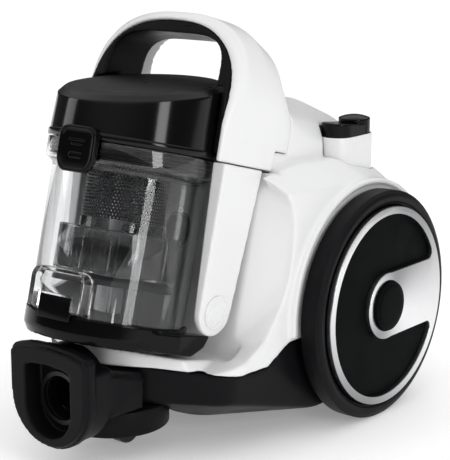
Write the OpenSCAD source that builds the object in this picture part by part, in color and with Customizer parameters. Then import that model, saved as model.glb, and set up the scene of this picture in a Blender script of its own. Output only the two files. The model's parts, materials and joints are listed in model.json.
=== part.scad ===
// Canister vacuum cleaner with two large rear wheels, a front caster and a
// tilted, lift-out cyclone bin. Millimetres, +Z up, hose socket facing -Y.
// The origin is on the floor, under the middle of the machine.

/* [Overall] */
// Length from the face of the hose socket to the back of the rear wheels
overall_length = 380; // [378:1:384]
// Outer radius of the rear tyres
wheel_radius = 100.5; // [99.5:0.5:100.5]
// Distance from the middle of the machine to the outer face of a wheel trim
trim_offset = 138; // [138:0.5:142]

/* [Dust bin] */
// Backward tilt of the dust bin, in degrees
bin_tilt = 15; // [14.5:0.25:15.25]
// Turn of the two catches of the dust bin away from its front line, in degrees
catch_turn = 5; // [0:1:6]
// Outer radius of the clear wall of the dust bin
bin_radius = 63.5; // [62:0.5:64]
// Outer radius of the clear collar at the top of the dust bin
collar_radius = 70; // [69.5:0.5:70]
// Height of the flat top of the lid above the floor
lid_height = 300; // [298:1:302]

/* [Carrying handle] */
// Half of the width of the handle over its outer faces
handle_half_width = 84; // [83:0.5:85]
// Thickness of the white shell of the handle
handle_shell = 10; // [9.5:0.5:11]

/* [Wheels and caster] */
// Radius of the stub axles of the rear wheels
axle_radius = 6; // [5:0.5:7]
// Radius of the caster wheel
caster_radius = 14; // [13:0.5:15]

/* [Hose socket] */
// Radius of the round bore that the hose end fits into
hose_bore_radius = 18; // [16:0.5:18]

/* [Travel clearances] */
// Radial clearance of every running fit
running_gap = 0.05; // [0.02:0.01:0.09]
// Gap between pieces that slide or turn past each other
play = 0.4; // [0.3:0.05:0.5]

/* [Hidden] */
$fn = 64;
hull_fn = 32;
big = 500;

// Places along the machine
socket_face_y = -overall_length / 2;
wheel_y = overall_length / 2 - wheel_radius;
wheel_z = wheel_radius;
bin_y = -150;
hose_z = 58.5;
back_y = 188;
bin_base_s = 98;
bin_wall_s = 112;
collar_s = 240;
rim_s = 256;
flange_top_s = 262;
bin_wall = 2.4;

// Places across the machine
tyre_inner_x = trim_offset - 24;
tyre_outer_x = trim_offset - 4.5;

// Buttons on the right-hand shoulder
button_x = 78;
button_y = 108;
button_half_gap = 13;
button_radius = 14;
button_top_z = 243;
pedestal_wall = 1.7;

// Chassis floor and its screws
chassis_floor_z = 19;
screw_radius = 2;

// Motor and cord reel
motor_y = 100;
motor_z = 174;
reel_y = 112;
reel_z = 71;

// Caster
caster_y = -113;
caster_trail = 13;
caster_ring_radius = 46;
caster_top_z = 44;

// Everything on the dust bin is drawn upright, then leant back with it
module bin_frame() {
    translate([0, bin_y, 0]) rotate([-bin_tilt, 0, 0]) children();
}

module both_sides() {
    for (side = [0, 1]) mirror([side, 0, 0]) children();
}

// A shape drawn in (y, z) and extruded across the machine from x0 to x1
module across(x0, x1) {
    translate([x0, 0, 0]) rotate([90, 0, 90]) linear_extrude(x1 - x0) children();
}

// A shape drawn in (x, z) and extruded along the machine from y0 to y1
module along(y0, y1) {
    translate([0, y1, 0]) rotate([90, 0, 0]) linear_extrude(y1 - y0) children();
}

// A cylinder along X from x0 to x1
module axle(r, x0, x1) {
    translate([x0, 0, 0]) rotate([0, 90, 0]) cylinder(r = r, h = x1 - x0);
}

module tube(outer, inner, height) {
    difference() {
        cylinder(r = outer, h = height);
        translate([0, 0, -1]) cylinder(r = inner, h = height + 2);
    }
}

module x_tube(outer, inner, x0, x1) {
    translate([x0, 0, 0]) rotate([0, 90, 0]) tube(outer, inner, x1 - x0);
}

module y_tube(outer, inner, y0, y1) {
    translate([0, y1, 0]) rotate([90, 0, 0]) tube(outer, inner, y1 - y0);
}

// ---- main body ----

// Side profile of the parting line between the white and the black casing
parting_line = [
    [-200, 85], [-120, 80], [-78, 73], [-44, 73], [-18, 88], [200, 88]
];

module below_parting(drop) {
    across(-160, 160) polygon(concat(
        [for (p = parting_line) [p[0], p[1] - drop]], [[200, -10], [-200, -10]]));
}

// Side profile of the front edges of the dock walls, as seen from the side
module dock_rim() {
    across(107, 125) polygon([
        [-230, 60], [-74, 86], [-42, 104], [-27, 124], [-18, 145], [-14, 163], [-11, 182], [-12, 199],
        [-20, 212], [-37, 225], [-62, 240], [-230, 240]
    ]);
}

// Room in front of the slanted dock walls
module dock_sides() {
    both_sides() hull() {
        dock_rim();
        bin_frame() translate([70, -100, bin_base_s + 2]) cube([1, 165, 150]);
    }
}

// Room for the dust bin and its straps, and for the handle above them
module dock_room() {
    pocket_half = handle_half_width + 3;
    bin_frame() {
        translate([-pocket_half, -260, bin_base_s - 2]) cube([2 * pocket_half, 331, 400]);
        translate([-130, -260, 272.5]) cube([260, 359.5, 200]);
        translate([-130, -260, 254]) cube([260, 340.5, 60]);
    }
    dock_sides();
}

module tray_form(inset) {
    low = 60;
    hull() both_sides() {
        translate([82, -74, low]) cylinder(r = 26 - inset, h = 40, $fn = hull_fn);
        translate([24, -106, low]) cylinder(r = 24 - inset, h = 40, $fn = hull_fn);
        translate([14, -124, low]) cylinder(r = 20 - inset, h = 40, $fn = hull_fn);
        translate([80, 30, low]) cylinder(r = 26 - inset, h = 40, $fn = hull_fn);
    }
}

module pedestal_outline(grow) {
    r = button_radius + grow;
    translate([button_x, button_y]) {
        for (side = [-1, 1]) translate([0, side * button_half_gap]) circle(r = r);
        square([2 * r, 2 * button_half_gap], center = true);
    }
}

// Shoulders and sides, rounded over between the two wheel arches
module shoulder_form(inset) {
    side = tyre_inner_x - 2.5 - inset;
    front = 108 - inset;
    top = 90 - inset;
    hull() {
        translate([0, wheel_y, wheel_z]) axle(wheel_radius + 6 - inset, -side, side);
        translate([0, 84, wheel_z + 16]) axle(90 - inset, -front, front);
        translate([0, 0, -inset]) across(-top, top)
            polygon([[-30, 225], [20, 231], [70, 228], [130, 214], [152, 200], [150, 100], [-30, 100]]);
        across(-front, front)
            polygon([[-60, 60], [-64, 88], [-52, 205], [-22, 213], [60, 206], [60, 60]]);
    }
}

// Dome behind the handle, down to the shoulders
module hood_form(inset) {
    hull() {
        bin_frame() in_handle_plane(98.5, 99.5)
            polygon(arch(handle_half_width - 2.5 - inset, 284, 28 - inset, 5, 225));
        bin_frame() in_handle_plane(80.8 + inset, 82 + inset)
            polygon(arch(handle_half_width - 3 - inset, 262, 10 - inset, 5, 225));
        both_sides() {
            translate([14, 94, 222]) sphere(r = 50 - inset, $fn = hull_fn);
            translate([18, 128, 206]) sphere(r = 51 - inset, $fn = hull_fn);
        }
    }
}

// Beads that stand out over the treads around the tops of the wheel arches
module arch_lips() {
    lip_radius = wheel_radius + 8.5;
    both_sides() intersection() {
        translate([0, wheel_y, wheel_z]) axle(lip_radius, 96, tyre_inner_x + 2.5);
        translate([80, -60, 92]) cube([60, 300, 150]);
    }
}

module upper_housing() {
    wall = 3;
    color("white") difference() {
        union() {
            hood_form(0);
            shoulder_form(0);
            arch_lips();
            tray_form(0);
        }
        difference() {
            union() {
                hood_form(wall);
                shoulder_form(wall);
            }
            bin_frame() translate([0, 0, bin_base_s - 8]) linear_extrude(400) polygon([
                [-130, -260], [130, -260], [130, 98], [109, 98], [70, 75], [-70, 75], [-109, 98], [-130, 98]
            ]);
            bin_frame() translate([-130, -260, 269]) cube([260, 361.7, 200]);
        }
        translate([-83, 0, 50]) cube([166, 140, 90]);
        dock_room();
        below_parting(0);
        both_sides() translate([0, wheel_y, wheel_z]) axle(wheel_radius + 3.5, tyre_inner_x - 1.5, 200);
        translate([0, 0, 190]) linear_extrude(80) pedestal_outline(pedestal_wall + 0.5);
        both_sides() wheel_place() axle(13.5, 90, 130);
        translate([-big / 2, back_y, 0]) cube([big, big, big]);
        translate([-46, 160, 96]) cube([92, 60, 42]);
        bin_frame() translate([0, 60, 200]) rotate([-90, 0, 0]) cylinder(r = 17, h = 30);
    }
}

module chassis_form(inset) {
    hull() both_sides() {
        translate([82, -74, 48]) cylinder(r1 = 18 - inset, r2 = 24 - inset, h = 50, $fn = hull_fn);
        translate([24, -106, 48]) cylinder(r1 = 18 - inset, r2 = 24 - inset, h = 50, $fn = hull_fn);
        translate([40, -44, 25 + inset]) cylinder(r = 26 - inset, h = 20, $fn = hull_fn);
        translate([85, 34, chassis_floor_z + inset]) cylinder(r = 24 - inset, h = 80, $fn = hull_fn);
        translate([77, 146, chassis_floor_z + inset]) cylinder(r = 32 - inset, h = 80, $fn = hull_fn);
    }
}

// The four screws under the flat part of the chassis floor
module screw_places() {
    for (x = [-60, 60], y = [52, 148]) translate([x, y, chassis_floor_z]) children();
}

module lower_chassis() {
    wall = 3;
    color("#26272a") intersection() {
        difference() {
            chassis_form(0);
            difference() {
                chassis_form(wall);
                translate([-60, -160, 0]) cube([120, 46, 100]);
                screw_places() cylinder(r = 5, h = 15);
            }
            screw_places() translate([0, 0, -1]) cylinder(r = screw_radius + running_gap, h = 14);
            translate([0, caster_y, 0]) cylinder(r = caster_ring_radius + 0.5, h = caster_top_z + 1);
            translate([-52, -200, 20]) cube([104, 76, 100]);
            translate([0, -20, hose_z]) rotate([90, 0, 0]) cylinder(r = 15, h = 120);
            bin_frame() translate([-88, -200, bin_base_s - 6]) cube([176, 200, 60]);
            both_sides() translate([0, wheel_y, wheel_z]) axle(13.5, 90, 130);
            translate([0, 160, 48]) rotate([-90, 0, 0]) cylinder(r = 12.2, h = 40);
        }
        below_parting(0.5);
    }
}

// ---- hose socket ----

// Front view of the socket: a flat top over a round bottom
module socket_outline(half_width, bottom, top, crown) {
    centre = bottom + half_width;
    translate([0, centre]) circle(r = half_width);
    polygon([
        [-half_width, centre], [half_width, centre], [half_width, top],
        [0.93 * half_width, top + 0.4 * crown], [0.6 * half_width, top + 0.8 * crown], [0, top + crown],
        [-0.6 * half_width, top + 0.8 * crown], [-0.93 * half_width, top + 0.4 * crown], [-half_width, top]
    ]);
}

module hose_socket() {
    pocket_end = socket_face_y + 18;
    bore_end = socket_face_y + 30;
    neck_end = -125;
    color("#1d1e20") difference() {
        union() {
            along(socket_face_y, socket_face_y + 4) socket_outline(40, 22, 95, 8);
            along(socket_face_y + 4, socket_face_y + 12) socket_outline(42.5, 19.5, 96.5, 9);
            along(socket_face_y + 12, -158) socket_outline(40.5, 21, 85, 6);
            hull() {
                along(-159, -158) polygon([[-40, 46], [40, 46], [40, 80], [34, 83], [-34, 83], [-40, 80]]);
                along(neck_end - 1, neck_end)
                    polygon([[-43, 46], [43, 46], [45, 70], [41, 76], [-41, 76], [-45, 70]]);
            }
        }
        along(socket_face_y - 1, pocket_end) socket_outline(24.5, 29, 85, 4.5);
        translate([0, 0, hose_z]) rotate([90, 0, 0]) {
            translate([0, 0, -bore_end]) cylinder(r = hose_bore_radius, h = 60);
            translate([0, 0, 60]) cylinder(r = hose_bore_radius + 1.5, h = -bore_end - 60);
        }
        translate([0, caster_y, 0]) cylinder(r = caster_ring_radius + 0.5, h = caster_top_z + 1.5);
        bin_frame() translate([-90, -200, bin_base_s - 3]) cube([180, 300, 60]);
    }
}

module socket_seal() {
    color("#111111") translate([0, 0, hose_z])
        y_tube(hose_bore_radius + 4, hose_bore_radius + 0.5, socket_face_y + 14.8, socket_face_y + 17.8);
}

module intake_duct() {
    outer = 13.5;
    inner = 11.7;
    riser_v = 93;
    foot_s = 85.5;
    head_s = 200;
    color("#3a3b3e") difference() {
        union() {
            translate([0, 0, hose_z]) rotate([90, 0, 0]) translate([0, 0, 38]) cylinder(r = outer, h = 86);
            bin_frame() {
                translate([0, riser_v, foot_s]) sphere(r = outer + 1);
                translate([0, riser_v, foot_s]) cylinder(r = outer, h = head_s - foot_s);
                translate([0, riser_v, head_s]) sphere(r = outer + 1);
                translate([0, riser_v, head_s]) rotate([90, 0, 0]) cylinder(r = outer, h = 19.5);
            }
        }
        translate([0, 0, hose_z]) rotate([90, 0, 0]) translate([0, 0, 38]) cylinder(r = inner, h = 90);
        bin_frame() {
            translate([0, riser_v, foot_s]) sphere(r = inner + 0.5);
            translate([0, riser_v, foot_s]) cylinder(r = inner, h = head_s - foot_s);
            translate([0, riser_v, head_s]) sphere(r = inner + 0.5);
            translate([0, riser_v, head_s]) rotate([90, 0, 0]) cylinder(r = inner, h = 30);
        }
    }
}

// ---- motor ----

module motor_place() {
    translate([0, motor_y, motor_z]) children();
}

module motor_housing() {
    color("#6b6d70") motor_place() {
        y_tube(48, 45, -38, 38);
        y_tube(45, 20, -38, -35);
        y_tube(45, 12, 35, 38);
    }
}

module motor_stator() {
    color("#8a5a2b") motor_place() y_tube(38, 25, -8, 26);
}

module motor_mounts() {
    color("#151515") motor_place() {
        y_tube(53, 48.1, -34, -28);
        y_tube(53, 48.1, 28, 34);
    }
}

module motor_shaft() {
    color("silver") motor_place() rotate([90, 0, 0]) cylinder(r = 4, h = 68, center = true);
}

module motor_rotor() {
    color("#7d7f82") motor_place() y_tube(24, 4, -6, 24);
}

module fan_impeller() {
    blades = 9;
    color("#c9cbce") motor_place() {
        y_tube(40, 4, -16, -13.5);
        y_tube(9, 4, -30, -16);
        for (i = [0 : blades - 1])
            rotate([0, i * 360 / blades, 0]) translate([8.5, -28, -0.8]) cube([29, 12.2, 1.6]);
    }
}

// ---- cord reel ----

module reel_place() {
    translate([0, reel_y, reel_z]) children();
}

module reel_frame() {
    color("#3a3b3e") reel_place() both_sides() difference() {
        translate([34, -30, -49]) cube([3, 60, 62]);
        axle(5.05, 30, 40);
    }
}

module reel_axle() {
    color("silver") reel_place() axle(5, -44, 44);
}

module cord_reel_drum() {
    color("#2a2b2d") reel_place() {
        x_tube(24, 5 + running_gap, -27, 27);
        both_sides() x_tube(44, 5 + running_gap, 27, 30);
    }
}

module reel_spring_case() {
    color("#55575a") reel_place() x_tube(26, 5.05, 38, 47);
}

module cord_outlet() {
    color("#17181a") translate([0, 0, 48]) {
        y_tube(16, 6, 178.2, 181.2);
        y_tube(12, 6, 168, 178.2);
    }
}

// ---- electronics and buttons ----

module circuit_board() {
    color("darkgreen") translate([52, 84, 200]) cube([36, 40, 1.6]);
}

module power_switch() {
    color("#202020") translate([button_x - 9, button_y + 5, 203]) cube([16, 13, 9]);
}

module button_pedestal() {
    floor_z = button_top_z - 13;
    color("white") difference() {
        translate([0, 0, 212]) linear_extrude(button_top_z - 212) pedestal_outline(pedestal_wall);
        translate([0, 0, floor_z]) linear_extrude(40) pedestal_outline(play);
        translate([0, 0, 205]) linear_extrude(floor_z - 207) pedestal_outline(0);
    }
}

module power_button() {
    color("black") intersection() {
        translate([button_x, button_y + button_half_gap, button_top_z - 6])
            cylinder(r = button_radius, h = 22);
        translate([button_x, button_y + button_half_gap, button_top_z - 18])
            sphere(r = 34, $fn = 96);
    }
}

module rewind_button() {
    color("black") difference() {
        translate([0, 0, button_top_z - 6]) linear_extrude(21.5) pedestal_outline(0);
        translate([button_x, button_y + button_half_gap, button_top_z - 20])
            cylinder(r = button_radius + play, h = 50);
        translate([button_x - 40, button_y + button_half_gap, button_top_z - 20]) cube([80, 40, 60]);
        translate([button_x, button_y - 27, button_top_z + 12.5]) rotate([-6, 0, 0])
            translate([-40, -20, 0]) cube([80, 80, 40]);
    }
}

module button_spring(y) {
    spring_bottom = button_top_z - 13;
    spring_height = 7;
    color("silver") translate([button_x, y, spring_bottom]) tube(5, 3.8, spring_height);
}

module power_button_spring() {
    button_spring(button_y + button_half_gap);
}

module rewind_button_spring() {
    button_spring(button_y - button_half_gap);
}

// ---- exhaust ----

module exhaust_filter() {
    pleats = 14;
    color("#e8e6dc") translate([-42, 170, 98]) {
        difference() {
            cube([84, 11, 38]);
            for (i = [0 : pleats - 1]) translate([4 + i * 5.6, -1, 3]) cube([2.8, 9, 32]);
        }
    }
}

module exhaust_grille() {
    slots = 5;
    color("#1d1e20") difference() {
        translate([-45.5, 184, 96.5]) cube([91, 3.5, 41]);
        for (i = [0 : slots - 1]) translate([-38, 170, 101 + i * 7]) cube([76, 20, 4]);
    }
}

// ---- wheels ----

module wheel_place() {
    translate([0, wheel_y, wheel_z]) children();
}

module axle_brackets() {
    color("#3a3b3e") wheel_place() both_sides() {
        x_tube(13, axle_radius, 62, tyre_inner_x - 10);
        x_tube(22, axle_radius, 58, 62);
    }
}

module wheel_axles() {
    color("silver") wheel_place() both_sides() {
        axle(axle_radius, 58, trim_offset - 2.5);
        axle(axle_radius + 3, trim_offset - 2.5, trim_offset - 0.5);
    }
}

// Cross-section of the tyre: radius across, distance from the middle upwards
module tyre_section() {
    r = wheel_radius;
    polygon([
        [87.6, tyre_inner_x + 2], [r - 3, tyre_inner_x], [r, tyre_inner_x + 2.5],
        [r, tyre_outer_x - 5], [r - 1.2, tyre_outer_x - 2], [r - 4, tyre_outer_x],
        [r - 8, tyre_outer_x + 1], [r - 11.5, tyre_outer_x - 1], [87.6, tyre_outer_x - 3]
    ]);
}

module spun_about_x() {
    rotate([0, 90, 0]) rotate_extrude($fn = 96) children();
}

module tyre() {
    color("#202124") wheel_place() spun_about_x() tyre_section();
}

module wheel_core() {
    hub = axle_radius + running_gap;
    face = trim_offset - 5;
    color("#0b0b0d") wheel_place() {
        x_tube(87.5, 83.5, tyre_inner_x + 2, face);
        x_tube(83.5, hub, face - 4, face);
        x_tube(13, hub, tyre_inner_x - 9, face - 4);
        spoke_ribs(face);
    }
}

module spoke_ribs(face) {
    ribs = 6;
    for (i = [0 : ribs - 1]) rotate([i * 360 / ribs, 0, 0])
        translate([tyre_inner_x + 4, -1.5, 12.5]) cube([face - tyre_inner_x - 7, 3, 71.5]);
}

module wheel_trim() {
    inner = 80.5;
    tongue = 29;
    cap_hole = 22.2;
    color("silver") wheel_place() across(trim_offset - 5, trim_offset) difference() {
        offset(r = -6) offset(r = 6) union() {
            difference() {
                circle(r = 87.2, $fn = 96);
                circle(r = inner, $fn = 96);
            }
            intersection() {
                translate([0, -tongue]) square([90, 2 * tongue]);
                circle(r = inner + 1, $fn = 96);
            }
            circle(r = tongue + 0.5);
        }
        circle(r = cap_hole);
    }
}

module hub_cap() {
    color("black") wheel_place() {
        axle(22, trim_offset - 0.2, trim_offset + 2.5);
        axle(19, trim_offset + 2.5, trim_offset + 4);
    }
}

// ---- caster ----

module caster_place() {
    translate([0, caster_y, 0]) children();
}

module caster_housing() {
    plate = 5;
    color("#26272a") caster_place() difference() {
        translate([0, 0, 23]) cylinder(r = caster_ring_radius, h = caster_top_z - 23);
        translate([0, 0, 20]) cylinder(r = caster_ring_radius - 3, h = caster_top_z - plate - 20);
        translate([0, 0, 30]) cylinder(r = 5 + running_gap, h = 30);
    }
}

module caster_fork() {
    wheel_centre = [0, caster_trail, caster_radius];
    color("#3a3b3e") caster_place() difference() {
        union() {
            translate([0, 0, 31.5]) cylinder(r = 27, h = 6);
            translate([0, 0, 37]) cylinder(r = 5, h = caster_top_z - 38);
            both_sides() translate([8, caster_trail - 8, 8]) cube([3, 16, 24]);
        }
        translate(wheel_centre) axle(3, -20, 20);
    }
}

module caster_axle() {
    color("silver") caster_place() translate([0, caster_trail, caster_radius]) axle(3, -11.5, 11.5);
}

module caster_wheel() {
    color("#17181a") caster_place() translate([0, caster_trail, caster_radius])
        rotate([0, 90, 0]) rotate_extrude() polygon([
            [3 + running_gap, -6.5], [caster_radius - 1.5, -6.5], [caster_radius, -5],
            [caster_radius, 5], [caster_radius - 1.5, 6.5], [3 + running_gap, 6.5]
        ]);
}

module chassis_screws() {
    head = 2.4;
    color("silver") screw_places() {
        translate([0, 0, -head]) cylinder(r = 3.6, h = head);
        cylinder(r = screw_radius, h = 12);
    }
}

// ---- dust bin ----

module bin_body() {
    r = bin_radius;
    c = collar_radius;
    color([0.75, 0.78, 0.8, 0.35]) bin_frame() difference() {
        union() {
            translate([0, 0, bin_wall_s]) tube(r, r - bin_wall, collar_s - bin_wall_s);
            translate([0, 0, collar_s - bin_wall]) tube(c, r - bin_wall, bin_wall);
            translate([0, 0, collar_s]) tube(c, c - bin_wall, rim_s - collar_s);
            translate([0, 69, 200]) rotate([90, 0, 0]) cylinder(r = 17, h = 9);
        }
        translate([0, 75, 200]) rotate([90, 0, 0]) cylinder(r = 14.5, h = 30);
        translate([0, 0, bin_wall_s - 1]) cylinder(r = r - bin_wall - 0.01, h = 100);
    }
}

// Where the base flap turns, behind the bin
module hinge_line() {
    translate([0, 60, 104]) children();
}

module bin_base() {
    band_top = bin_wall_s + 7;
    color("#141416") bin_frame() {
        difference() {
            rotate_extrude() polygon([
                [bin_radius - 1.2, bin_base_s], [bin_radius + 2.6, bin_base_s + 7],
                [bin_radius + 2.6, band_top],
                [bin_radius + 0.1, band_top], [bin_radius + 0.1, bin_wall_s - 2],
                [bin_radius - 2.2, bin_wall_s - 2], [bin_radius - 2.2, bin_base_s]
            ]);
            translate([-20.6, 50, bin_base_s - 2]) cube([41.2, 20, 14]);
            hinge_line() axle(2.55, -30, 30);
        }
        both_sides() difference() {
            intersection() {
                linear_extrude(150) polygon([[60, -26], [74.5, 6], [74.5, 43], [60, 43]]);
                across(50, 80) polygon([[-26, 101], [24, 98.5], [38, 106], [44, 116], [-26, 116]]);
            }
            cylinder(r = bin_radius + 1.5, h = 200);
        }
    }
}

module base_flap() {
    color("#141416") bin_frame() difference() {
        union() {
            translate([0, 0, bin_base_s]) cylinder(r1 = bin_radius - 6, r2 = bin_radius - 2.6, h = 4);
            translate([0, 0, bin_base_s + 4]) cylinder(r = bin_radius - 2.6, h = 7.4);
            hinge_line() axle(5.4, -20, 20);
        }
        hinge_line() axle(2.55, -30, 30);
    }
}

module flap_seal() {
    color("#111111") bin_frame() translate([0, 0, bin_wall_s - 2.2])
        tube(bin_radius - 2.6, bin_radius - 6, 2);
}

module flap_hinge_pin() {
    color("silver") bin_frame() hinge_line() axle(2.5, -22, 22);
}

// Clear guard in front of the latch, with an open middle
// Front view of the latch cover: square below, rounded at the upper corners
module latch_outline(half_width, height, corner) {
    translate([-half_width, 0]) square([2 * half_width, height - corner]);
    translate([corner - half_width, 0]) square([2 * (half_width - corner), height]);
    for (side = [-1, 1]) translate([side * (half_width - corner), height - corner]) circle(r = corner);
}

module latch_housing() {
    front = -71.8;
    color([0.8, 0.82, 0.84, 0.4]) bin_frame() rotate([0, 0, catch_turn]) difference() {
        translate([0, front + 20, 122]) rotate([90, 0, 0]) linear_extrude(20) latch_outline(26, 32, 9);
        translate([0, front + 43, 119]) rotate([90, 0, 0]) linear_extrude(40) latch_outline(23, 31.5, 6);
        translate([-16.4, front - 1, 110]) cube([32.8, 30, 24]);
        translate([0, 0, 100]) cylinder(r = bin_radius + 0.2, h = 80);
    }
}

module flap_latch() {
    color("#0c0c0e") bin_frame() rotate([0, 0, catch_turn]) {
        translate([-15.8, -70.4, 114]) cube([31.6, 2, 18.5]);
    }
}

// White side arm of the bin, drawn on the +X side
module strap() {
    foot_s = 136;
    foot_v = 42;
    foot_radius = 20;
    top_s = rim_s - 0.8;
    color("white") bin_frame() intersection() {
        translate([0, 90, 0]) rotate([90, 0, 0]) linear_extrude(120) polygon([
            [collar_radius + 0.8, 100], [75.5, 100], [handle_half_width, top_s],
            [collar_radius + 0.8, top_s]
        ]);
        translate([60, 0, 0]) rotate([90, 0, 90]) linear_extrude(40) union() {
            translate([foot_v, foot_s]) circle(r = foot_radius);
            polygon([
                [foot_v - foot_radius, foot_s], [foot_v + foot_radius, foot_s], [66, top_s], [15, top_s]
            ]);
        }
    }
}

module pivot_covers() {
    lean = atan2(handle_half_width - 75.5, rim_s - 100);
    color("#f2f2f2") bin_frame() both_sides()
        translate([77.6, 42, 136]) rotate([0, lean, 0]) axle(14, 0.1, 1.3);
}

module cyclone_tube() {
    color([0.8, 0.82, 0.84, 0.5]) bin_frame() {
        translate([0, 0, 156]) tube(34, 32.2, 42);
        translate([0, 0, 114]) tube(19, 17.4, 40.5);
        translate([0, 0, 154]) tube(50, 16.8, 2);
        translate([0, 0, 156]) tube(50, 48.4, 34);
        translate([0, 0, 111.2]) tube(26, 17.4, 3);
    }
}

module cyclone_skirt() {
    color("#2a2b2e") bin_frame() difference() {
        translate([0, 0, 146]) cylinder(r1 = 50, r2 = 44, h = 8);
        translate([0, 0, 144]) cylinder(r1 = 48, r2 = 42, h = 8);
        translate([0, 0, 140]) cylinder(r = 19.2, h = 20);
    }
}

module mesh_screen() {
    rows = 4;
    columns = 24;
    color("#7e8084") bin_frame() difference() {
        translate([0, 0, 198.1]) tube(34, 32.6, 39);
        for (row = [0 : rows - 1], column = [0 : columns - 1])
            rotate([0, 0, (column + row % 2 / 2) * 360 / columns])
                translate([28, -2.2, 202 + row * 8.5]) cube([10, 4.4, 5.2]);
    }
}

// ---- lid and handle ----

module below_height(z) {
    translate([-big / 2, -big, 0]) cube([big, 2 * big, z]);
}

module lid_solid(inset) {
    intersection() {
        bin_frame() translate([0, 0, rim_s + 0.6])
            cylinder(r1 = collar_radius - 0.2 - inset, r2 = collar_radius - 4 - inset, h = 90);
        below_height(lid_height - inset);
    }
}

module lid() {
    wall = 2.6;
    color("#08080a") difference() {
        union() {
            lid_solid(0);
            bin_frame() translate([0, 0, rim_s + 0.6])
                cylinder(r = collar_radius + 1, h = flange_top_s - rim_s);
        }
        lid_solid(wall);
        bin_frame() translate([0, 0, rim_s - 5]) cylinder(r = collar_radius - wall - 0.2, h = 12);
    }
}

module collar_seal() {
    color("#18181a") bin_frame() {
        for (i = [0 : 3]) translate([0, 0, collar_s + 0.8 + i * 3.8]) tube(67.2, 63, 2.6);
        translate([0, 0, collar_s + 0.8]) tube(65.6, 63, 15);
    }
}

module filter_frame() {
    color("#3a3b3e") bin_frame() {
        translate([0, 0, 242]) tube(62.5, 31, 3);
        translate([0, 0, 245]) tube(62.5, 60, 16);
        translate([0, 0, 237.5]) tube(36, 31, 4.5);
    }
}

module filter_cartridge() {
    pleats = 30;
    color("#dcdad2") bin_frame() difference() {
        translate([0, 0, 245.2]) tube(58, 31, 26);
        for (i = [0 : pleats - 1]) rotate([0, 0, i * 360 / pleats])
            translate([52, -2, 248]) cube([10, 4, 30]);
    }
}

// Arch in the plane of the handle: straight sides up to base_s, then a rounded top
function arch(half_width, base_s, height, power, foot) = concat(
    [[half_width, foot]],
    [for (a = [0 : 5 : 180]) [
        half_width * sign(cos(a)) * pow(abs(cos(a)), 2 / power),
        base_s + height * pow(sin(a), 2 / power)
    ]],
    [[-half_width, foot]]);

module in_handle_plane(v0, v1) {
    translate([0, v1, 0]) rotate([90, 0, 0]) linear_extrude(v1 - v0) children();
}

// Solid outer form of the handle, from its raked front rim to its seam with the hood
module handle_form() {
    w = handle_half_width;
    bin_frame() difference() {
        hull() {
            in_handle_plane(13, 13.5) polygon(arch(w - 6, 268, 48, 2.5, 240));
            in_handle_plane(19, 19.5) polygon(arch(w - 4, 290, 60, 2.5, 240));
            in_handle_plane(22, 22.5) polygon(arch(w - 4, 300, 69.5, 2.5, 240));
            in_handle_plane(30, 56) polygon(arch(w, 300, 75, 2.6, 240));
            in_handle_plane(75, 76) polygon(arch(w, 300, 66, 2.6, 240));
            in_handle_plane(97.5, 98.5) polygon(arch(w - 2, 284, 38, 3.2, 240));
        }
        translate([-100, 0, 220]) cube([200, 120, 36.1]);
        translate([-100, 79, 220]) cube([200, 40, 53]);
    }
}

module handle_shell_arch() {
    inner = handle_half_width - handle_shell;
    deck_s = 315;
    deck = 3.5;
    color("white") difference() {
        union() {
            difference() {
                handle_form();
                bin_frame() in_handle_plane(-10, 120) polygon(arch(inner, 300, 67, 2.5, 240));
            }
            bin_frame() {
                translate([-inner - 2, 64.4, deck_s - deck]) cube([2 * inner + 4, 32.6, deck]);
                translate([-inner - 2, 94, 274]) cube([2 * inner + 4, 3.5, deck_s - 276]);
            }
        }
        bin_frame() translate([0, 0, 250]) cylinder(r = collar_radius + 0.8, h = 80);
    }
}

module handle_grip() {
    inner = handle_half_width - handle_shell;
    color("#0c0c0e") difference() {
        bin_frame() intersection() {
            difference() {
                in_handle_plane(14, 64) polygon(arch(inner - 0.2, 300, 66.8, 2.5, 262));
                in_handle_plane(0, 120) polygon(arch(60.5, 300, 56.5, 4.6, 240));
            }
            translate([-100, 0, 0]) rotate([90, 0, 90]) linear_extrude(200)
                polygon([[14.6, 240], [14.6, 310], [23.5, 364], [23.5, 378], [64, 378], [64, 240]]);
        }
        bin_frame() translate([0, 0, 250]) cylinder(r = collar_radius + 1.4, h = 13);
        intersection() {
            bin_frame() translate([0, 0, 250]) cylinder(r = collar_radius + 0.3, h = 120);
            below_height(lid_height + 0.2);
        }
    }
}

module filter_button() {
    color("#060608") bin_frame() rotate([0, 0, catch_turn]) difference() {
        translate([-18, -76, 229]) cube([36, 14, 37]);
        translate([0, 0, 220]) cylinder(r = collar_radius + 2.2, h = 60, $fn = 240);
    }
}

upper_housing();
lower_chassis();
hose_socket();
socket_seal();
intake_duct();
motor_housing();
motor_stator();
motor_mounts();
motor_shaft();
motor_rotor();
fan_impeller();
reel_frame();
reel_axle();
cord_reel_drum();
reel_spring_case();
cord_outlet();
circuit_board();
power_switch();
button_pedestal();
power_button();
rewind_button();
power_button_spring();
rewind_button_spring();
exhaust_filter();
exhaust_grille();
axle_brackets();
wheel_axles();
mirror([1, 0, 0]) tyre();  // tyre_left
tyre();  // tyre_right
mirror([1, 0, 0]) wheel_core();  // wheel_core_left
wheel_core();  // wheel_core_right
mirror([1, 0, 0]) wheel_trim();  // wheel_trim_left
wheel_trim();  // wheel_trim_right
mirror([1, 0, 0]) hub_cap();  // hub_cap_left
hub_cap();  // hub_cap_right
caster_housing();
caster_fork();
caster_axle();
caster_wheel();
chassis_screws();
bin_body();
bin_base();
base_flap();
flap_seal();
flap_hinge_pin();
latch_housing();
flap_latch();
mirror([1, 0, 0]) strap();  // strap_left
strap();  // strap_right
pivot_covers();
cyclone_tube();
cyclone_skirt();
mesh_screen();
lid();
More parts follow.
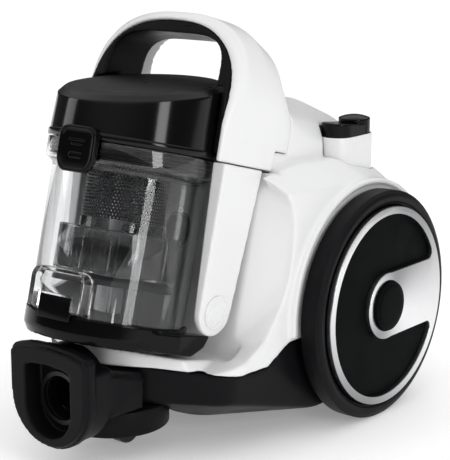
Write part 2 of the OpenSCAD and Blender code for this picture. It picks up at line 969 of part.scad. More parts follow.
collar_seal();
filter_frame();
filter_cartridge();
handle_shell_arch();
handle_grip();
filter_button();
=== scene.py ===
"""Looks for the canister vacuum cleaner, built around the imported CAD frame."""

import json
import math

import bmesh
import bpy
from mathutils import Matrix, Vector


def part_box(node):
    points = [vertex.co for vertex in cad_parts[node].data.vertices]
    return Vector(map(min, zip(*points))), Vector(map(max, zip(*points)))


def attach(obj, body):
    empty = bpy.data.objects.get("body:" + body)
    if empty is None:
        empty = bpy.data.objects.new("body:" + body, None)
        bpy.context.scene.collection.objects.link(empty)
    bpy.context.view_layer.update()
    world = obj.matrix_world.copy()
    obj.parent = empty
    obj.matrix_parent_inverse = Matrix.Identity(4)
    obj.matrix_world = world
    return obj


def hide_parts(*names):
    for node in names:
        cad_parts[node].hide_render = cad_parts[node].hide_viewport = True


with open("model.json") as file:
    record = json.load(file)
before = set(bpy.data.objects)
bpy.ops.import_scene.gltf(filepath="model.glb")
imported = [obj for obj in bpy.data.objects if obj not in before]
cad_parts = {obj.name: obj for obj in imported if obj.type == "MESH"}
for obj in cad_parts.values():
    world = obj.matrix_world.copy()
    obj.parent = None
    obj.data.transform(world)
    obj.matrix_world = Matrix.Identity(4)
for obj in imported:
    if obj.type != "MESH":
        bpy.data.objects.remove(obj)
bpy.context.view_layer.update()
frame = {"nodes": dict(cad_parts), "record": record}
nodes = frame["nodes"]
scene = bpy.context.scene

MM = 0.001
TILT = math.radians(15.0)
BIN_Y = -0.150
CATCH_TURN = math.radians(5.0)
BIN = Matrix.Translation((0, BIN_Y, 0)) @ Matrix.Rotation(-TILT, 4, "X")
CATCH = BIN @ Matrix.Rotation(CATCH_TURN, 4, "Z")
MIRROR = Matrix.Scale(-1, 4, (1, 0, 0))
BIN_RADIUS = 63.5
COLLAR_RADIUS = 70.0
LID_HEIGHT = 300.0
LID_FOOT = 262.6


# ---------------------------------------------------------------- camera and light

def make_camera():
    data = bpy.data.cameras.new("camera")
    data.lens = 117.4
    data.sensor_width = 36.0
    data.clip_start, data.clip_end = 0.05, 50.0
    camera = bpy.data.objects.new("camera", data)
    camera.location = (0.8085, -0.9798, 0.4582)
    camera.rotation_euler = (math.radians(76.97), 0, math.radians(38.54))
    scene.collection.objects.link(camera)
    scene.camera = camera


def area_light(name, place, target, size, power, tint=(1, 1, 1)):
    data = bpy.data.lights.new(name, "AREA")
    data.shape = "RECTANGLE"
    data.size, data.size_y = size
    data.energy = power
    data.color = tint
    light = bpy.data.objects.new(name, data)
    light.location = place
    light.rotation_euler = (Vector(target) - Vector(place)).to_track_quat("-Z", "Y").to_euler()
    scene.collection.objects.link(light)


def make_light():
    world = bpy.data.worlds.new("studio")
    world.use_nodes = True
    tree = world.node_tree
    background = tree.nodes["Background"]
    place = tree.nodes.new("ShaderNodeTexCoord")
    split = tree.nodes.new("ShaderNodeSeparateXYZ")
    lift = tree.nodes.new("ShaderNodeMapRange")
    lift.interpolation_type = "SMOOTHSTEP"
    lift.inputs["From Min"].default_value = 0.25
    lift.inputs["From Max"].default_value = 0.65
    lift.inputs["To Min"].default_value = 0.08
    lift.inputs["To Max"].default_value = 1.1
    tree.links.new(place.outputs["Generated"], split.inputs["Vector"])
    tree.links.new(split.outputs["Z"], lift.inputs["Value"])
    tree.links.new(lift.outputs["Result"], background.inputs["Strength"])
    background.inputs["Color"].default_value = (1, 1, 1, 1)
    scene.world = world
    aim = (0, -0.08, 0.22)
    area_light("strip_right", (1.5, -0.48, 0.55), aim, (0.36, 0.6), 6.5)
    area_light("strip_left", (-1.4, -0.75, 0.6), aim, (0.5, 0.6), 2.8)
    scene.view_settings.view_transform = "Standard"


def make_floor():
    mesh = bpy.data.meshes.new("floor")
    half = 6.0
    corners = [(-half, -half, 0), (half, -half, 0), (half, half, 0), (-half, half, 0)]
    mesh.from_pydata(corners, [], [(0, 1, 2, 3)])
    floor = bpy.data.objects.new("floor", mesh)
    scene.collection.objects.link(floor)
    paper = moulding("floor_paper", (0.93, 0.93, 0.93), 0.9, grain=0.02, scale=60, bump=0.01, specular=0.1)
    glow = paper.node_tree.nodes["Principled BSDF"]
    glow.inputs["Emission Color"].default_value = (1, 1, 1, 1)
    glow.inputs["Emission Strength"].default_value = 0.24
    mesh.materials.append(paper)


# ---------------------------------------------------------------- materials

def start_material(name):
    made = bpy.data.materials.new(name)
    made.use_nodes = True
    return made, made.node_tree, made.node_tree.nodes["Principled BSDF"]


def noise_on(tree, scale, detail=3.0, stretch=(1, 1, 1)):
    place = tree.nodes.new("ShaderNodeTexCoord")
    mapping = tree.nodes.new("ShaderNodeMapping")
    mapping.inputs["Scale"].default_value = stretch
    noise = tree.nodes.new("ShaderNodeTexNoise")
    noise.inputs["Scale"].default_value = scale
    noise.inputs["Detail"].default_value = detail
    tree.links.new(place.outputs["Object"], mapping.inputs["Vector"])
    tree.links.new(mapping.outputs["Vector"], noise.inputs["Vector"])
    return noise.outputs["Fac"]


def spread(tree, value, low, high):
    ranged = tree.nodes.new("ShaderNodeMapRange")
    ranged.inputs["From Min"].default_value = 0.3
    ranged.inputs["From Max"].default_value = 0.7
    ranged.inputs["To Min"].default_value = low
    ranged.inputs["To Max"].default_value = high
    tree.links.new(value, ranged.inputs["Value"])
    return ranged.outputs["Result"]


def tint_between(tree, value, dark, light):
    mix = tree.nodes.new("ShaderNodeMix")
    mix.data_type = "RGBA"
    mix.inputs[6].default_value = (*dark, 1)
    mix.inputs[7].default_value = (*light, 1)
    tree.links.new(value, mix.inputs[0])
    return mix.outputs[2]


def bump_from(tree, bsdf, value, strength, distance):
    bump = tree.nodes.new("ShaderNodeBump")
    bump.inputs["Strength"].default_value = strength
    bump.inputs["Distance"].default_value = distance
    tree.links.new(value, bump.inputs["Height"])
    tree.links.new(bump.outputs["Normal"], bsdf.inputs["Normal"])


def moulding(name, colour, rough, grain=0.05, scale=900, bump=0.05, coat=0.0, specular=0.5, metal=0.0,
             stretch=(1, 1, 1), wear=0.16):
    """A moulded or cast surface: slow colour drift, handled gloss and a fine surface grain."""
    made, tree, bsdf = start_material(name)
    slow = noise_on(tree, 14, 4)
    low = tuple(c * (1 - grain) for c in colour)
    high = tuple(min(1, c * (1 + grain)) for c in colour)
    tree.links.new(tint_between(tree, slow, low, high), bsdf.inputs["Base Color"])
    fine = noise_on(tree, scale, 2, stretch)
    rubbed = spread(tree, noise_on(tree, 45, 5), rough * (1 - wear), min(1, rough * (1 + wear)))
    tree.links.new(rubbed, bsdf.inputs["Roughness"])
    bump_from(tree, bsdf, fine, bump, 0.0004)
    bsdf.inputs["Metallic"].default_value = metal
    bsdf.inputs["Coat Weight"].default_value = coat
    bsdf.inputs["Coat Roughness"].default_value = 0.04
    bsdf.inputs["Specular IOR Level"].default_value = specular
    return made


def clear_plastic(name, colour, rough=0.03, ior=1.42):
    made, tree, bsdf = start_material(name)
    bsdf.inputs["Transmission Weight"].default_value = 1.0
    bsdf.inputs["IOR"].default_value = ior
    haze = noise_on(tree, 30, 4)
    tint = tint_between(tree, haze, tuple(c * 0.97 for c in colour), colour)
    tree.links.new(tint, bsdf.inputs["Base Color"])
    tree.links.new(spread(tree, haze, rough * 0.6, rough * 1.4), bsdf.inputs["Roughness"])
    bump_from(tree, bsdf, noise_on(tree, 25, 2), 0.01, 0.0005)
    return made


def silver_with_painted_sheen():
    """Silver trim, brushed in circles round the axle, with painted reflection: two sectors of painted
    highlight and two of painted shade round the axle.
    """
    made = moulding("brushed_silver_painted_sheen", (0.5, 0.5, 0.51), 0.26, grain=0.03, scale=120, bump=0.03,
                    metal=1.0, stretch=(1, 1, 26), wear=0.03)
    tree, bsdf = made.node_tree, made.node_tree.nodes["Principled BSDF"]
    lo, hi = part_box("tyre_right")
    place = tree.nodes.new("ShaderNodeTexCoord")
    split = tree.nodes.new("ShaderNodeSeparateXYZ")
    tree.links.new(place.outputs["Object"], split.inputs["Vector"])

    def step(operation, first, second=0.0):
        made_node = tree.nodes.new("ShaderNodeMath")
        made_node.operation = operation
        for slot, value in enumerate((first, second)):
            if isinstance(value, float):
                made_node.inputs[slot].default_value = value
            else:
                tree.links.new(value, made_node.inputs[slot])
        return made_node.outputs["Value"]

    back = step("SUBTRACT", split.outputs["Y"], (lo.y + hi.y) / 2)
    up = step("SUBTRACT", split.outputs["Z"], (lo.z + hi.z) / 2)
    angle = step("ADD", step("ARCTAN2", up, back), 0.5)
    # painted reflection: the base colour swings twice round the axle between painted shade and painted
    # highlight
    painted_sheen_sweep = step("MULTIPLY_ADD", step("COSINE", step("MULTIPLY", angle, 2.0)), 0.5)
    painted_sheen_sweep.node.inputs[2].default_value = 0.5
    # tones of the painted shade and the painted highlight sectors
    dark, bright = (0.3, 0.3, 0.31), (0.82, 0.82, 0.83)
    tree.links.new(tint_between(tree, painted_sheen_sweep, dark, bright), bsdf.inputs["Base Color"])
    return made


def lid_black():
    """Gloss black on the sides of the lid, matt on its level top."""
    made = moulding("lid_black_shell", (0.003, 0.003, 0.0035), 0.1, grain=0.1, scale=500, bump=0.012,
                    specular=0.24)
    tree, bsdf = made.node_tree, made.node_tree.nodes["Principled BSDF"]
    facing = tree.nodes.new("ShaderNodeNewGeometry")
    split = tree.nodes.new("ShaderNodeSeparateXYZ")
    level = tree.nodes.new("ShaderNodeMapRange")
    level.inputs["From Min"].default_value = 0.6
    level.inputs["From Max"].default_value = 0.97
    level.inputs["To Min"].default_value = 0.12
    level.inputs["To Max"].default_value = 0.55
    tree.links.new(facing.outputs["Normal"], split.inputs["Vector"])
    tree.links.new(split.outputs["Z"], level.inputs["Value"])
    drift = tree.nodes.new("ShaderNodeMath")
    drift.operation = "MULTIPLY"
    tree.links.new(level.outputs["Result"], drift.inputs[0])
    tree.links.new(spread(tree, noise_on(tree, 45, 5), 0.9, 1.1), drift.inputs[1])
    tree.links.new(drift.outputs["Value"], bsdf.inputs["Roughness"])
    return made


def make_materials():
    m = {}
    m["lid"] = lid_black()
    m["white"] = moulding("white_gloss_shell", (0.83, 0.83, 0.835), 0.32,
                          grain=0.012, scale=700, bump=0.005, specular=0.4, wear=0.03)
    m["black"] = moulding("black_gloss_shell", (0.003, 0.003, 0.0035), 0.13,
                          grain=0.1, scale=500, bump=0.012, specular=0.13)
    m["disc"] = moulding("wheel_disc_black", (0.003, 0.0035, 0.0035), 0.45,
                         grain=0.1, scale=700, bump=0.02, specular=0.02)
    m["satin"] = moulding("black_satin_shell", (0.005, 0.005, 0.006), 0.4,
                          grain=0.12, scale=1600, bump=0.1, specular=0.09)
    m["dark"] = moulding("dark_moulding", (0.02, 0.021, 0.024), 0.42,
                         grain=0.1, scale=1200, bump=0.1, specular=0.3)
    m["rubber"] = moulding("seal_rubber_look", (0.005, 0.005, 0.005), 0.38,
                           grain=0.15, scale=1500, bump=0.1, specular=0.35)
    m["tyre"] = moulding("tyre_rubber_look", (0.006, 0.006, 0.007), 0.42,
                         grain=0.15, scale=1800, bump=0.15, specular=0.09)
    m["silver"] = silver_with_painted_sheen()
    m["steel"] = moulding("turned_steel", (0.5, 0.5, 0.51), 0.3,
                          grain=0.04, scale=400, bump=0.08, metal=1.0)
    m["cast"] = moulding("cast_metal", (0.42, 0.43, 0.44), 0.45,
                         grain=0.08, scale=700, bump=0.2, metal=1.0)
    m["copper"] = moulding("copper_winding", (0.5, 0.2, 0.08), 0.35,
                           grain=0.2, scale=300, bump=0.5, metal=1.0, stretch=(1, 18, 1))
    m["paper"] = moulding("filter_cloth", (0.5, 0.49, 0.45), 0.85,
                          grain=0.08, scale=2200, bump=0.4, specular=0.2)
    m["mesh"] = moulding("screen_metal", (0.05, 0.05, 0.052), 0.3,
                         grain=0.1, scale=1500, bump=0.1, metal=0.8)
    m["board"] = moulding("circuit_board_look", (0.02, 0.12, 0.04), 0.4, grain=0.2, scale=500, bump=0.2)
    m["clear"] = clear_plastic("clear_bin_wall", (0.9, 0.905, 0.91), rough=0.008)
    m["cover"] = clear_plastic("clear_latch_cover", (0.95, 0.95, 0.95), rough=0.008, ior=1.49)
    m["smoke"] = clear_plastic("smoky_inner_wall", (0.76, 0.765, 0.77), rough=0.006, ior=1.47)
    return m


# ---------------------------------------------------------------- mesh helpers

def new_piece(name, verts, faces, material, sharp=35):
    mesh = bpy.data.meshes.new(name)
    mesh.from_pydata([tuple(v) for v in verts], [], faces)
    bm = bmesh.new()
    bm.from_mesh(mesh)
    bmesh.ops.recalc_face_normals(bm, faces=bm.faces)
    bm.to_mesh(mesh)
    bm.free()
    return wrap(name, mesh, material, sharp)


def wrap(name, mesh, material, sharp=35):
    mesh.shade_smooth()
    mesh.set_sharp_from_angle(angle=math.radians(sharp))
    mesh.materials.clear()
    mesh.materials.append(material)
    piece = bpy.data.objects.new(name, mesh)
    scene.collection.objects.link(piece)
    return piece


def loft(name, rings, material, closed_path=False, caps=True, sharp=35):
    """Skins a list of equally long rings. A closed path joins the last ring to the first."""
    count = len(rings[0])
    verts = [p for ring in rings for p in ring]
    faces = []
    last = len(rings) if closed_path else len(rings) - 1
    for i in range(last):
        a, b = i * count, (i + 1) % len(rings) * count
        for j in range(count):
            k = (j + 1) % count
            faces.append((a + j, a + k, b + k, b + j))
    if caps and not closed_path:
        faces.append(tuple(range(count)))
        faces.append(tuple(range((len(rings) - 1) * count, len(rings) * count)))
    return new_piece(name, verts, faces, material, sharp)


def polar(radius, angle, height):
    """A point in metres from a radius and a height in millimetres."""
    return Vector((radius * math.cos(angle), radius * math.sin(angle), height)) * MM


def turned(count):
    """Equal angles all the way round."""
    return [2 * math.pi * i / count for i in range(count)]


def lathe(name, profile, material, matrix=BIN, steps=128, sharp=35):
    """Turns a closed (radius, height) outline in millimetres about the local Z axis."""
    rings = [[matrix @ polar(r, a, z) for r, z in profile] for a in turned(steps)]
    return loft(name, rings, material, closed_path=True, sharp=sharp)


def rounded(points, radius, steps=4):
    """Rounds the corners of a closed outline of (x, y) points by arcs of about the given radius."""
    out = []
    count = len(points)
    for i in range(count):
        here, before, after = Vector(points[i]), Vector(points[i - 1]), Vector(points[(i + 1) % count])
        a, b = before - here, after - here
        cut = min(radius, a.length * 0.45, b.length * 0.45)
        start, end = here + a.normalized() * cut, here + b.normalized() * cut
        for k in range(steps + 1):
            t = k / steps
            out.append(tuple(start.lerp(here, t).lerp(here.lerp(end, t), t)))
    return out


def ribbed(profile_bottom, profile_top, radius, depth, count):
    """Outline points of a wall with parallel ribs, from the bottom up."""
    out = []
    pitch = (profile_top - profile_bottom) / count
    for i in range(count):
        z = profile_bottom + i * pitch
        out += [(radius - depth, z), (radius - depth, z + 0.25 * pitch), (radius, z + 0.4 * pitch),
                (radius, z + 0.85 * pitch)]
    return out


def pill(half_length, radius, steps=16):
    out = []
    for end, start in ((1, 0.0), (-1, math.pi)):
        for i in range(steps + 1):
            a = start + math.pi * i / steps
            out.append((radius * math.cos(a), end * half_length + radius * math.sin(a)))
    return out


def baked(piece):
    """Replaces a piece's mesh by what its modifiers make of it."""
    depsgraph = bpy.context.evaluated_depsgraph_get()
    mesh = bpy.data.meshes.new_from_object(piece.evaluated_get(depsgraph))
    piece.modifiers.clear()
    piece.data = mesh
    return piece


def copy_of(name, source, material):
    mesh = nodes[source].data.copy()
    mesh.name = name
    piece = bpy.data.objects.new(name, mesh)
    scene.collection.objects.link(piece)
    mesh.materials.clear()
    mesh.materials.append(material)
    return piece


def stand_in(piece, body, source):
    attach(piece, body)
    if source:
        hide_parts(*([source] if isinstance(source, str) else source))
    return piece


def moulded(source, body, material, voxel=1.2, passes=6, keep=0.5):
    """The CAD shell with every edge rounded over, as a moulding has it."""
    piece = copy_of(source + "_skin", source, material)
    remesh = piece.modifiers.new("remesh", "REMESH")
    remesh.mode = "VOXEL"
    remesh.voxel_size = voxel * MM
    smooth = piece.modifiers.new("smooth", "SMOOTH")
    smooth.iterations = passes
    smooth.factor = 0.5
    if keep < 1:
        thin = piece.modifiers.new("thin", "DECIMATE")
        thin.ratio = keep
        settle = piece.modifiers.new("settle", "SMOOTH")
        settle.iterations = 2
        settle.factor = 0.5
    baked(piece)
    piece.data.shade_smooth()
    return stand_in(piece, body, source)


def joined(name, pieces, sharp=35):
    """One piece made of several closed shells, in the first one's material."""
    bm = bmesh.new()
    for piece in pieces:
        bm.from_mesh(piece.data)
    mesh = bpy.data.meshes.new(name)
    bm.to_mesh(mesh)
    bm.free()
    material = pieces[0].data.materials[0]
    for piece in pieces:
        bpy.data.objects.remove(piece)
    return wrap(name, mesh, material, sharp)


def about(outline, factor):
    """The outline, scaled about the middle of its box."""
    cx = (min(x for x, y in outline) + max(x for x, y in outline)) / 2
    cy = (min(y for x, y in outline) + max(y for x, y in outline)) / 2
    return [(cx + (x - cx) * factor, cy + (y - cy) * factor) for x, y in outline]


def softened(source, body, material, width=0.8, segments=3):
    """The CAD solid with a small rounding along its sharp edges."""
    piece = copy_of(source + "_skin", source, material)
    bm = bmesh.new()
    bm.from_mesh(piece.data)
    bmesh.ops.remove_doubles(bm, verts=bm.verts, dist=0.00002)
    bmesh.ops.dissolve_limit(bm, angle_limit=math.radians(1.0), verts=bm.verts, edges=bm.edges)
    bm.to_mesh(piece.data)
    bm.free()
    bevel = piece.modifiers.new("bevel", "BEVEL")
    bevel.width = width * MM
    bevel.segments = segments
    bevel.limit_method = "ANGLE"
    bevel.angle_limit = math.radians(32)
    baked(piece)
    piece.data.shade_smooth()
    piece.data.set_sharp_from_angle(angle=math.radians(40))
    return stand_in(piece, body, source)


# ---------------------------------------------------------------- carried-over CAD nodes

def dress_nodes(m):
    look = {
        "white_gloss": m["white"], "black_gloss": m["black"], "black_satin": m["satin"],
        "dark_plastic": m["dark"], "clear_plastic": m["clear"], "silver_trim": m["silver"],
        "steel": m["steel"], "grey_metal": m["cast"], "copper": m["copper"], "tyre_rubber": m["tyre"],
        "seal_rubber": m["rubber"], "filter_paper": m["paper"], "mesh_metal": m["mesh"],
        "board_green": m["board"],
    }
    for entry in frame["record"]["subparts"]:
        mesh = nodes[entry["node"]].data
        mesh.materials.clear()
        mesh.materials.append(look[entry["material_slot"]])
        mesh.shade_smooth()
        mesh.set_sharp_from_angle(angle=math.radians(30))


# ---------------------------------------------------------------- main body

def build_main(m):
    moulded("upper_housing", "main", m["white"], voxel=1.0, passes=36, keep=0.3)
    moulded("lower_chassis", "main", m["satin"], voxel=1.3, passes=22, keep=0.35)
    moulded("hose_socket", "main", m["satin"], voxel=1.0, passes=8, keep=1)
    softened("caster_housing", "main", m["satin"], width=3.0)
    softened("button_pedestal", "main", m["white"], width=0.7)
    softened("exhaust_grille", "main", m["satin"], width=0.6, segments=2)
    moulded("power_button", "power_key", m["black"], voxel=0.5, passes=6, keep=0.5)
    moulded("rewind_button", "rewind_key", m["black"], voxel=0.5, passes=6, keep=0.5)


# ---------------------------------------------------------------- wheels

def tyre_outline(radius, inner, outer):
    """The tyre's section: flat tread, a creased shoulder and a lip round the trim."""
    seat = 87.7
    return rounded([
        (seat, inner + 2.2), (radius - 4, inner + 0.2), (radius - 0.2, inner + 2.6), (radius, inner + 9),
        (radius, outer - 3.4), (radius - 0.9, outer - 2.3), (radius - 1.5, outer - 2.3),
        (radius - 2.2, outer - 1.2), (radius - 5.5, outer - 0.1), (radius - 9.4, outer - 0.3),
        (radius - 10.2, outer - 1.5), (radius - 12.4, outer - 2.2), (seat, outer - 3.6)], 0.7, 3)


def core_outline(face, inner):
    """The wheel's dished disc with its rim and the sleeve on the axle."""
    bore, sleeve, plate = 6.2, 13, 4
    return [(bore, face), (40, face), (84, face), (87.2, face - 0.3), (87.4, inner + 2.1),
            (83.7, inner + 2.1), (83.6, face - plate), (sleeve, face - plate), (sleeve, inner - 8.9),
            (bore, inner - 8.9)]


def cap_outline(base, top):
    """The hub cap: a low dome inside a thin step."""
    return [(0.3, base + 0.1), (21.9, base + 0.1), (21.9, top - 2.4), (21.3, top - 1.3), (19.8, top - 0.9),
            (19.4, top - 0.9), (18.9, top - 0.5), (16, top - 0.25), (9, top - 0.1), (0.3, top)]


def build_wheel(m, side, name):
    lo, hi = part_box("tyre_right")
    axle = Vector((0, (lo.y + hi.y) / 2, (lo.z + hi.z) / 2))
    radius = (hi.z - lo.z) / 2 / MM
    inner, outer = lo.x / MM, hi.x / MM
    turn = Matrix.Translation(axle) @ Matrix.Rotation(math.radians(90), 4, "Y")
    if side < 0:
        turn = MIRROR @ turn
    body = "wheel_" + name
    section = tyre_outline(radius, inner, outer)
    tyre = lathe("tyre_" + name + "_skin", section, m["tyre"], turn, 176, sharp=28)
    stand_in(tyre, body, "tyre_" + name)
    softened("wheel_trim_" + name, body, m["silver"], width=0.9)
    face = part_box("wheel_trim_right")[0].x / MM
    core = lathe("wheel_core_" + name + "_skin", core_outline(face, inner), m["disc"], turn, 144)
    stand_in(core, body, "wheel_core_" + name)
    low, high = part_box("hub_cap_right")
    dome = cap_outline(low.x / MM, high.x / MM)
    cap = lathe("hub_cap_" + name + "_skin", dome, m["disc"], turn, 96)
    stand_in(cap, body, "hub_cap_" + name)


# ---------------------------------------------------------------- lid and handle

def lid_ring(scale, drop, count):
    """One ring on the lid's level top: the tilted cone cut level, shrunk towards its middle."""
    foot, top = COLLAR_RADIUS - 0.2, COLLAR_RADIUS - 4.0
    low_s, high_s = 256.6, 346.6
    lean = (top - foot) / (high_s - low_s)
    axis_y = BIN_Y / MM + (LID_HEIGHT / math.cos(TILT)) * math.sin(TILT)
    level = Vector((0, axis_y - drop * math.tan(TILT), LID_HEIGHT - drop))
    ring = []
    for a in turned(count):
        # distance up the bin's axis at which this generator reaches the level top
        c, k = math.cos(TILT), -math.sin(TILT) * math.sin(a)
        s = (LID_HEIGHT - drop - k * (foot - lean * low_s)) / (c + k * lean)
        point = (BIN @ polar(foot + lean * (s - low_s), a, s)) / MM
        ring.append((level + (point - level) * scale) * MM)
    return ring


def build_lid(m):
    count = 144
    bore = 66.5
    flange = [(bore, 257.0), (70.3, 256.8), (70.9, 257.5), (71.0, 261.5), (70.6, 262.3), (69.8, LID_FOOT)]
    skirt = [[BIN @ polar(r, a, s) for a in turned(count)] for r, s in flange]
    # share of the lid's width and depth below its top: wall, bevel, groove, level disc
    steps = [(1.0, 8.0), (1.0, 6.2), (0.999, 5.7), (0.995, 5.3), (0.985, 4.7), (0.95, 2.3), (0.935, 1.4),
             (0.922, 0.9), (0.905, 0.7), (0.895, 1.1), (0.885, 1.1), (0.876, 0.35), (0.85, 0.2),
             (0.6, 0.06), (0.25, 0.0), (0.04, 0.0)]
    rim = [lid_ring(scale, drop, count) for scale, drop in steps]
    inside = [lid_ring(scale, drop, count) for scale, drop in ((0.04, 3.0), (0.87, 3.4), (0.95, 8.5))]
    foot = [[BIN @ polar(bore, a, 262.0) for a in turned(count)]]
    lid = loft("lid_skin", skirt + rim + inside + foot, m["lid"], closed_path=True, sharp=50)
    stand_in(lid, "lid_unit", "lid")
    moulded("handle_shell_arch", "lid_unit", m["white"], voxel=0.9, passes=26, keep=0.35)
    moulded("handle_grip", "lid_unit", m["satin"], voxel=1.0, passes=14, keep=0.5)
    band = [(62.9, 240.8)] + ribbed(241.0, 256.0, 67.2, 1.7, 5) + [(62.9, 256.2)]
    seal = lathe("collar_seal_skin", band, m["rubber"])
    stand_in(seal, "lid_unit", "collar_seal")


def build_filter_button(m):
    # drawn face-on: x across, y up the bin, local z out of the bin
    face = CATCH @ Matrix.Rotation(math.radians(90), 4, "X")
    collar_gap = COLLAR_RADIUS + 2.3

    def ring(outline, depth):
        return [face @ (Vector((x, y, depth)) * MM) for x, y in outline]

    def back(outline):
        # hollowed to clear the collar when the button is pressed
        return [face @ (Vector((x, y, math.sqrt(collar_gap ** 2 - x ** 2))) * MM) for x, y in outline]

    half, low, shoulder, high = 17.8, 229.4, 238, 265.8
    outline = rounded([(-half, shoulder), (-13, low), (13, low), (half, shoulder), (half, high),
                       (-half, high)], 9, 7)
    rear = [back(about(outline, k)) for k in (0.1, 0.5, 0.9, 1)]
    # depth and share of the outline: side, raised bezel, recessed face
    steps = ((74.2, 1), (75.2, 0.985), (75.8, 0.95), (76.0, 0.91), (75.7, 0.865), (74.3, 0.825),
             (74.0, 0.79), (74.0, 0.5), (74.0, 0.1))
    parts = [loft("button", rear + [ring(about(outline, k), d) for d, k in steps], m["black"])]
    for middle, half_length, thick in ((254.5, 7.5, 1.1), (250.8, 5.0, 0.9), (242.5, 4.4, 2.6)):
        bar = [(y, middle + x) for x, y in pill(half_length, thick)]
        rings = [ring(about(bar, k), d) for d, k in ((73.8, 1), (74.4, 1), (74.6, 0.9))]
        parts.append(loft("bar", rings, m["black"]))
    button = joined("filter_button_skin", parts, sharp=50)
    stand_in(button, "lid_catch", "filter_button")


# ---------------------------------------------------------------- bin

def perforated(name, radius, low, high, rows, columns, material):
    """A thin rolled sheet with staggered eight-sided holes."""
    bm = bmesh.new()
    wide, tall = 2 * math.pi / columns, (high - low) / rows

    def at(angle, height):
        return BIN @ polar(radius, angle, height)

    for row in range(rows):
        for column in range(columns):
            a, z = (column + 0.5 * (row % 2)) * wide, low + (row + 0.5) * tall
            rim, hole = [], []
            for du, dv in ((-1, -1), (0, -1), (1, -1), (1, 0), (1, 1), (0, 1), (-1, 1), (-1, 0)):
                reach = 0.68 / math.hypot(du, dv)
                rim.append(bm.verts.new(at(a + du * wide / 2, z + dv * tall / 2)))
                hole.append(bm.verts.new(at(a + du * wide / 2 * reach, z + dv * tall / 2 * reach)))
            for i in range(8):
                j = (i + 1) % 8
                bm.faces.new((rim[i], rim[j], hole[j], hole[i]))
    bmesh.ops.remove_doubles(bm, verts=bm.verts, dist=0.00005)
    mesh = bpy.data.meshes.new(name)
    bm.to_mesh(mesh)
    bm.free()
    piece = wrap(name, mesh, material)
    shell = piece.modifiers.new("sheet", "SOLIDIFY")
    shell.thickness = 0.5 * MM
    shell.offset = -1
    return baked(piece)


def build_cyclone(m):
    cup = rounded([(48.6, 155.8), (50, 155.8), (50, 189.8), (48.6, 189.8)], 0.5, 2)
    lip = rounded([(46.8, 187.6), (49.9, 187.4), (49.9, 189.9), (46.8, 189.9)], 0.7, 2)
    deck = rounded([(17.6, 154.1), (49.9, 154.1), (49.9, 156), (17.6, 156)], 0.5, 2)
    upper = rounded([(32.4, 156), (34, 156), (34, 197.9), (32.4, 197.9)], 0.5, 2)
    parts = [lathe("part", p, m["smoke"], steps=112) for p in (cup, lip, deck, upper)]
    for i in range(10):
        a = 2 * math.pi * (i + 0.35) / 10
        spot = BIN @ Matrix.Translation((41.3 * MM * math.cos(a), 41.3 * MM * math.sin(a), 0))
        cone = rounded([(5.6, 156.2), (6.6, 156.2), (6.9, 184), (5.9, 184)], 0.3, 2)
        parts.append(lathe("cone", cone, m["smoke"], spot, steps=28))
    for i in range(8):
        fin = BIN @ Matrix.Rotation(2 * math.pi * i / 8, 4, "Z")
        edge = [(17.8, 114.4), (26.0, 114.4), (26.0, 153.9), (17.8, 153.9)]
        rings = [[fin @ Vector((x * MM, side * MM, z * MM)) for x, z in edge] for side in (-0.6, 0.6)]
        parts.append(loft("fin", rings, m["smoke"]))
    stem = rounded([(17.5, 111.4), (25.9, 111.4), (25.9, 114.1), (19, 114.4), (19, 153.9), (17.5, 153.9)],
                   0.4, 2)
    parts.append(lathe("stem", stem, m["smoke"], steps=96))
    stand_in(joined("cyclone_tube_skin", parts), "bin", "cyclone_tube")
    band = rounded([(48, 146.1), (49.9, 146.1), (48.4, 150.5), (44, 153.8), (41.6, 153.6), (46.6, 149)],
                   0.8, 3)
    skirt = lathe("cyclone_skirt_skin", band, m["dark"], steps=128)
    stand_in(skirt, "bin", "cyclone_skirt")
    screen = perforated("mesh_screen_skin", 33.9, 198.4, 236.9, 15, 72, m["mesh"])
    stand_in(screen, "bin", "mesh_screen")


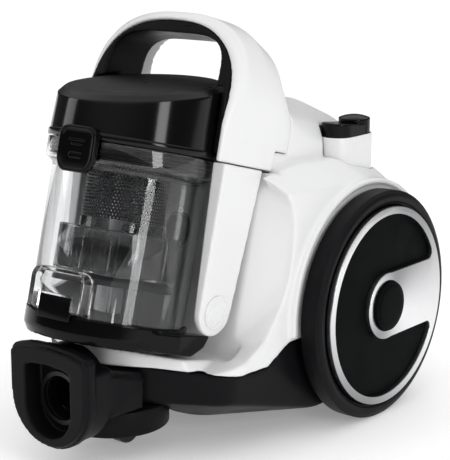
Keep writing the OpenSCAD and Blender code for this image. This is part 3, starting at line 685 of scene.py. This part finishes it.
def build_pivot_covers(m):
    # radius, height and shift of each ring: a stepped disc with an off-centre swirl
    steps = ((13.9, 0.12, 0), (13.9, 0.9, 0), (13.4, 1.25, 0), (12.7, 1.28, 0), (12.3, 0.75, 0),
             (11.5, 0.75, 0), (11.1, 1.25, 0), (9.6, 1.28, 0.5), (9.1, 0.7, 0.9), (7.9, 0.7, 1.5),
             (7.4, 1.2, 1.6), (4, 1.25, 1.6), (0.4, 1.28, 1.6))
    lean = math.atan2(8.5, 156)
    parts = []
    for side in (1, -1):
        place = BIN @ Matrix.Translation((77.6 * MM, 42 * MM, 136 * MM))
        place = place @ Matrix.Rotation(lean, 4, "Y") @ Matrix.Rotation(math.radians(90), 4, "Y")
        place = MIRROR @ place if side < 0 else place
        rings = [[place @ (polar(r, a, h) + Vector((shift, shift * 0.6, 0)) * MM) for a in turned(72)]
                 for r, h, shift in steps]
        parts.append(loft("cover", rings, m["white"]))
    stand_in(joined("pivot_covers_skin", parts), "bin", "pivot_covers")


def build_bin(m):
    r, collar = BIN_RADIUS, COLLAR_RADIUS
    wall = [(r - 2.3, 112.3), (r - 0.1, 112.2), (r - 0.1, 234), (r + 0.8, 236.4), (collar - 1.0, 239.8),
            (collar, 241.6), (collar, 255.7), (collar - 2.2, 255.8), (collar - 2.3, 242.2),
            (collar - 3.2, 240.8), (r - 1.4, 237.8), (r - 2.3, 234.4)]
    body = lathe("bin_body_skin", rounded(wall, 0.8, 3), m["clear"], steps=160, sharp=60)
    stand_in(body, "bin", "bin_body")
    for name in ("strap_left", "strap_right"):
        moulded(name, "bin", m["white"], voxel=0.8, passes=16, keep=0.4)
    moulded("bin_base", "bin", m["black"], voxel=1.0, passes=5, keep=1)
    softened("base_flap", "bin", m["black"], width=1.0)
    softened("latch_housing", "bin", m["cover"], width=1.1)
    softened("flap_latch", "flap_catch", m["black"], width=0.7)
    build_cyclone(m)
    build_pivot_covers(m)


make_camera()
make_light()
materials = make_materials()
dress_nodes(materials)
make_floor()
build_main(materials)
build_wheel(materials, 1, "right")
build_wheel(materials, -1, "left")
build_lid(materials)
build_filter_button(materials)
build_bin(materials)
